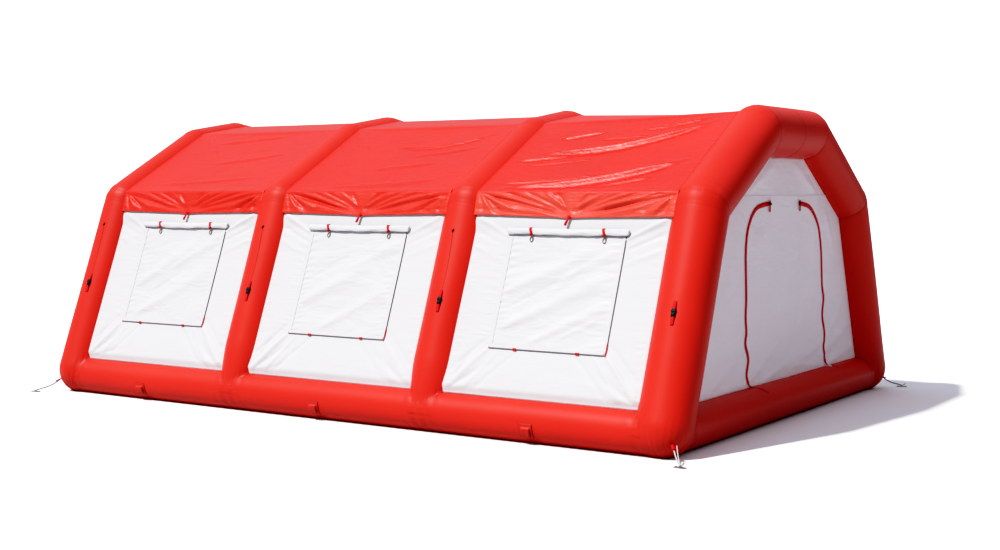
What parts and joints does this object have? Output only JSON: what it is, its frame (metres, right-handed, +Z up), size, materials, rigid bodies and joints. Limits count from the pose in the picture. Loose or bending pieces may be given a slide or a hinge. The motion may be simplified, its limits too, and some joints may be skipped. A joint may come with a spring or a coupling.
{
  "type": "inflatable emergency shelter",
  "caption": "Tunnel-shaped inflatable shelter: red air arches on a ring of base tubes, red roof sheets, white side panels with rolled window flaps, and white end walls with a zipped door.",
  "frame": {"origin": "on the ground under the middle of the shelter", "axes": "+X along the ridge towards the end with the door, +Z up; the pictured long side faces -Y"},
  "size_m": [7.625, 5.4782, 2.9158],
  "materials": {
    "red_coated_fabric": "satin coated fabric, air-tight",
    "red_roof_fabric": "thin coated fabric",
    "white_fabric": "thin coated fabric",
    "window_fabric": "thin glossy window film",
    "flap_fabric": "rolled thin fabric",
    "red_tape": "woven tape and zip",
    "black_plastic": "moulded buckle on webbing",
    "grey_cord": "braided cord",
    "peg_steel": "plain flat steel"
  },
  "bodies": {
    "root": {"anchor_cord_1": "grey_cord", "anchor_cord_2": "grey_cord", "anchor_cord_3": "grey_cord", "anchor_cord_4": "grey_cord", "arch_1": "red_coated_fabric", "arch_2": "red_coated_fabric", "arch_3": "red_coated_fabric", "arch_4": "red_coated_fabric", "base_back": "red_coated_fabric", "base_front": "red_coated_fabric", "base_left": "red_coated_fabric", "base_patch_back_1": "red_coated_fabric", "base_patch_back_2": "red_coated_fabric", "base_patch_back_3": "red_coated_fabric", "base_patch_front_1": "red_coated_fabric", "base_patch_front_2": "red_coated_fabric", "base_patch_front_3": "red_coated_fabric", "base_right": "red_coated_fabric", "door_zip_left": "red_tape", "door_zip_right": "red_tape", "end_wall_left": "white_fabric", "end_wall_right": "white_fabric", "flap_roll_back_1": "flap_fabric", "flap_roll_back_2": "flap_fabric", "flap_roll_back_3": "flap_fabric", "flap_roll_front_1": "flap_fabric", "flap_roll_front_2": "flap_fabric", "flap_roll_front_3": "flap_fabric", "ground_peg_1": "peg_steel", "ground_peg_2": "peg_steel", "ground_peg_3": "peg_steel", "ground_peg_4": "peg_steel", "leg_strap_back_1": "black_plastic", "leg_strap_back_2": "black_plastic", "leg_strap_back_3": "black_plastic", "leg_strap_back_4": "black_plastic", "leg_strap_front_1": "black_plastic", "leg_strap_front_2": "black_plastic", "leg_strap_front_3": "black_plastic", "leg_strap_front_4": "black_plastic", "panel_back_1": "white_fabric", "panel_back_2": "white_fabric", "panel_back_3": "white_fabric", "panel_front_1": "white_fabric", "panel_front_2": "white_fabric", "panel_front_3": "white_fabric", "pull_tab_front_1": "red_tape", "pull_tab_front_2": "red_tape", "pull_tab_front_3": "red_tape", "roof_1": "red_roof_fabric", "roof_2": "red_roof_fabric", "roof_3": "red_roof_fabric", "window_back_1": "window_fabric", "window_back_2": "window_fabric", "window_back_3": "window_fabric", "window_front_1": "window_fabric", "window_front_2": "window_fabric", "window_front_3": "window_fabric"}
  },
  "joints": []
}
